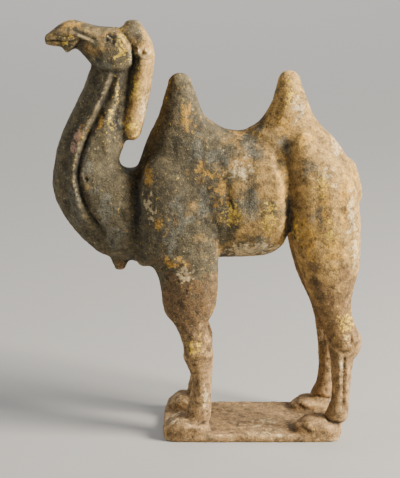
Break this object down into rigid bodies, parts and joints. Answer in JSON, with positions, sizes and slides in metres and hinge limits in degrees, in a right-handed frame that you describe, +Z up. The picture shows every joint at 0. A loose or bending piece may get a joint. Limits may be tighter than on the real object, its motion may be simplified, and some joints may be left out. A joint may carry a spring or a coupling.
{
  "type": "terracotta camel figure",
  "caption": "Standing two-humped camel in weathered terracotta on a thin rectangular slab, head raised, mane hanging in a thick pad; a display ornament.",
  "frame": {"origin": "middle of the slab's underside, on the ground", "axes": "+Z up, the head towards -X, the figure's left flank towards -Y"},
  "size_m": [0.284, 0.094, 0.3792],
  "materials": {
    "clay": "unglazed, weathered, with traces of pigment and burial soil"
  },
  "bodies": {
    "root": {"camel": "clay"}
  },
  "joints": []
}
